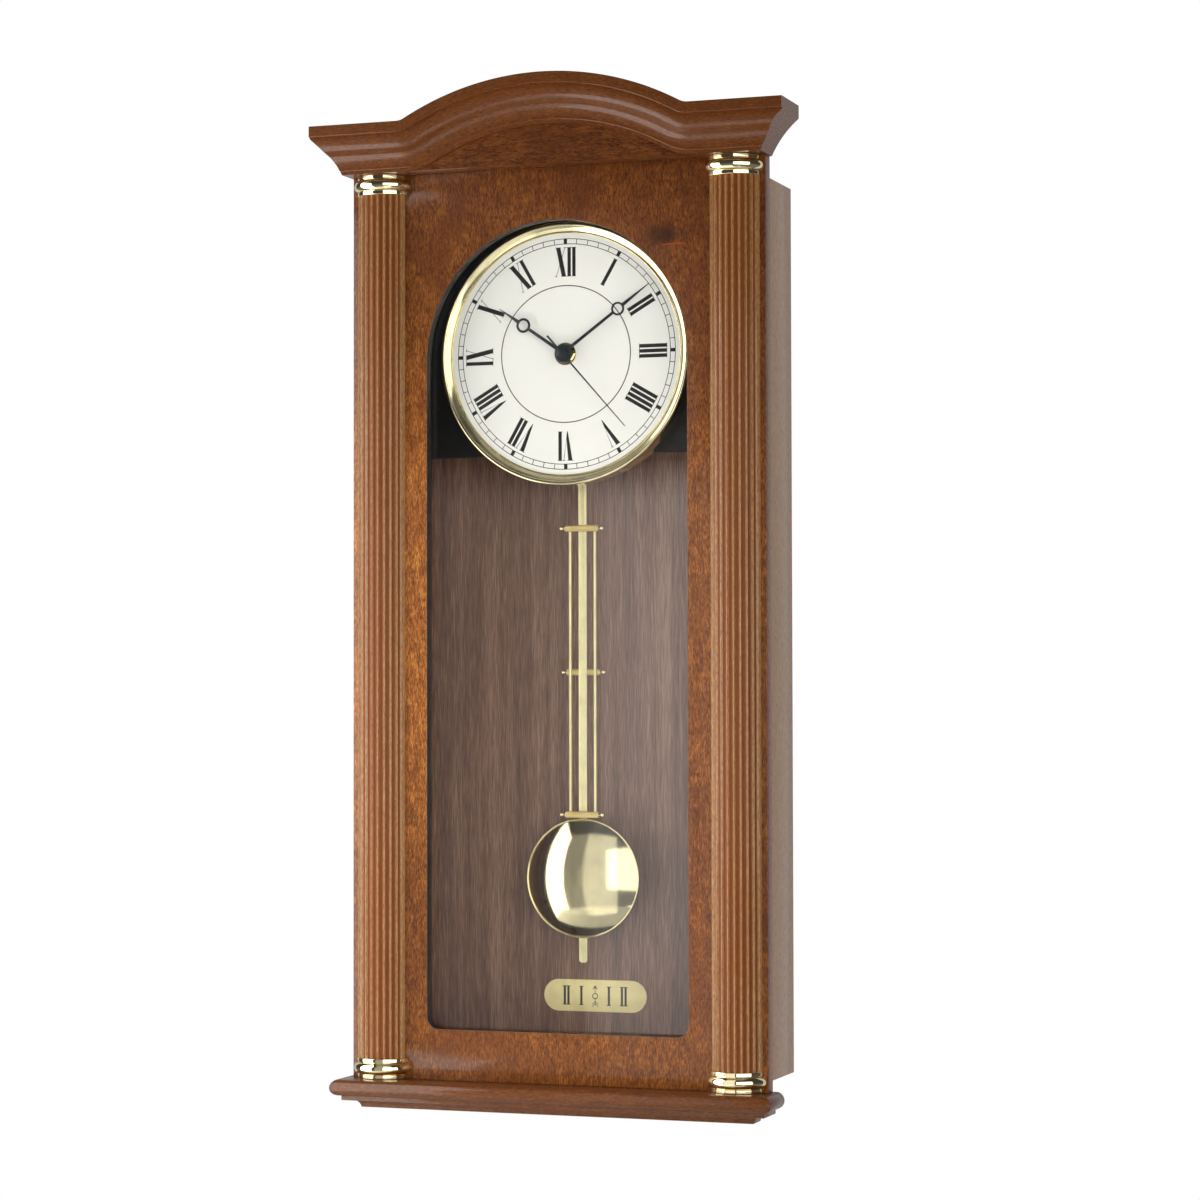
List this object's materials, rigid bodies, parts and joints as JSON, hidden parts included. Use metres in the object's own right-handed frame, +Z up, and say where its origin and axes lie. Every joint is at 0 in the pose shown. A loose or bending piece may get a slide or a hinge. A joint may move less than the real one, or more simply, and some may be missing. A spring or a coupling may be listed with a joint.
{
  "type": "pendulum wall clock",
  "caption": "Tall wall clock with an arched cornice, fluted columns, a glazed door, a round dial and a swinging pendulum.",
  "frame": {"origin": "middle of the hanging hole, on the wall plane at the rear of the case", "axes": "+Z up, +Y from the door into the wall, +X to the right as seen from the front"},
  "size_m": [0.2898, 0.0994, 0.6],
  "materials": {
    "panel_veneer": "dark walnut-brown stained veneer, satin lacquer",
    "moulding_veneer": "stained veneer over shaped fibreboard, satin lacquer",
    "column_veneer": "stained fluted veneer, satin lacquer",
    "side_foil": "greyish walnut foil with fine upright grain",
    "back_foil": "dark walnut foil with fine light grain",
    "carcass_wood": "plain inner timber",
    "black_board": "black painted board",
    "gilt": "mirror gilt plating",
    "polished_brass": "polished, clear lacquered",
    "satin_brass": "satin brushed",
    "rod_brass": "drawn brass, light gloss",
    "dial_white": "smooth ivory white dial paint",
    "hand_black": "black satin paint",
    "steel": "bright zinc plated steel",
    "black_plastic": "fine spark-eroded texture",
    "white_plastic": "natural acetal",
    "black_rubber": "soft washer rubber",
    "magnet": "sintered ferrite",
    "copper": "enamelled copper wire",
    "board_green": "solder-masked circuit board",
    "battery_skin": "plain printed sleeve, no lettering",
    "glass": "clear 2 mm float glass"
  },
  "bodies": {
    "case": {"case_side_left": "side_foil", "case_side_right": "side_foil", "case_top": "side_foil", "case_bottom": "side_foil", "back_board": "back_foil", "hanging_rail": "carcass_wood", "hanger_plate": "steel", "hanger_screws": "steel", "movement_board": "black_board", "board_battens": "carcass_wood", "board_screws": "steel", "dial_drum": "satin_brass", "bezel": "polished_brass", "dial_face": "dial_white", "dial_washer": "black_rubber", "mounting_nut": "polished_brass", "centre_bush": "satin_brass", "movement_front_case": "black_plastic", "movement_back_case": "black_plastic", "train_bridge": "white_plastic", "motor_stator": "steel", "motor_coil": "copper", "circuit_board": "board_green", "battery_contacts": "steel", "pendulum_coil": "copper", "pendulum_axle": "steel", "scale_plaque": "satin_brass", "hinge_case_leaves": "satin_brass", "magnet_catch": "white_plastic"},
    "battery_cell": {"battery": "battery_skin"},
    "door": {"hinge_door_leaves": "satin_brass", "hinge_pins": "satin_brass", "strike_plate": "steel", "door_panel": "panel_veneer", "cornice": "moulding_veneer", "tympanum": "panel_veneer", "base_moulding": "moulding_veneer", "column_left": "column_veneer", "column_right": "column_veneer", "collars_top": "gilt", "collars_bottom": "gilt", "glass_pane": "glass", "glass_clips": "black_plastic"},
    "hour_train": {"hour_hand": "hand_black", "hour_wheel": "white_plastic"},
    "minute_train": {"minute_hand": "hand_black", "centre_wheel": "satin_brass"},
    "second_train": {"second_hand": "hand_black", "second_wheel": "white_plastic"},
    "third_train": {"third_wheel": "satin_brass"},
    "fourth_train": {"fourth_wheel": "white_plastic"},
    "rotor": {"motor_rotor": "magnet"},
    "setting_train": {"motion_wheel": "white_plastic", "setting_knob": "black_plastic"},
    "pendulum": {"pendulum_lever": "white_plastic", "pendulum_magnet": "magnet", "pendulum_rod": "rod_brass", "side_rods": "rod_brass", "crossbars": "satin_brass", "bob": "polished_brass"}
  },
  "joints": [
    {"name": "door_swing", "type": "hinge", "parent": "case", "child": "door", "pos_m": [-0.1246, -0.061, -0.2245], "axis": [0, 0, -1], "range_deg": [0, 110]},
    {"name": "minute_turn", "type": "hinge", "parent": "case", "child": "minute_train", "pos_m": [0, -0.053, -0.0655], "axis": [0, 1, 0], "continuous": true},
    {"name": "hour_turn", "type": "hinge", "parent": "case", "child": "hour_train", "pos_m": [0, -0.053, -0.0655], "axis": [0, 1, 0], "continuous": true},
    {"name": "second_turn", "type": "hinge", "parent": "case", "child": "second_train", "pos_m": [0, -0.053, -0.0655], "axis": [0, 1, 0], "continuous": true},
    {"name": "third_turn", "type": "hinge", "parent": "case", "child": "third_train", "pos_m": [0.00737, -0.048, -0.07066], "axis": [0, 1, 0], "continuous": true},
    {"name": "fourth_turn", "type": "hinge", "parent": "case", "child": "fourth_train", "pos_m": [-0.00649, -0.048, -0.06175], "axis": [0, 1, 0], "continuous": true},
    {"name": "rotor_turn", "type": "hinge", "parent": "case", "child": "rotor", "pos_m": [-0.01256, -0.048, -0.05825], "axis": [0, 1, 0], "continuous": true},
    {"name": "setting_turn", "type": "hinge", "parent": "case", "child": "setting_train", "pos_m": [-0.00735, -0.048, -0.07167], "axis": [0, 1, 0], "continuous": true},
    {"name": "pendulum_swing", "type": "hinge", "parent": "case", "child": "pendulum", "pos_m": [0, -0.026, -0.089], "axis": [0, 1, 0], "range_deg": [-4, 4]},
    {"name": "battery_pull", "type": "slide", "parent": "case", "child": "battery_cell", "axis": [0, 1, 0], "range_m": [0, 0.015]}
  ],
  "couplings": [
    {"joint": "minute_turn", "follows": "second_turn", "ratio": 0.016667},
    {"joint": "hour_turn", "follows": "second_turn", "ratio": 0.0013889},
    {"joint": "third_turn", "follows": "second_turn", "ratio": -0.13333},
    {"joint": "fourth_turn", "follows": "second_turn", "ratio": -5},
    {"joint": "rotor_turn", "follows": "second_turn", "ratio": 30},
    {"joint": "setting_turn", "follows": "second_turn", "ratio": -0.0055556}
  ]
}
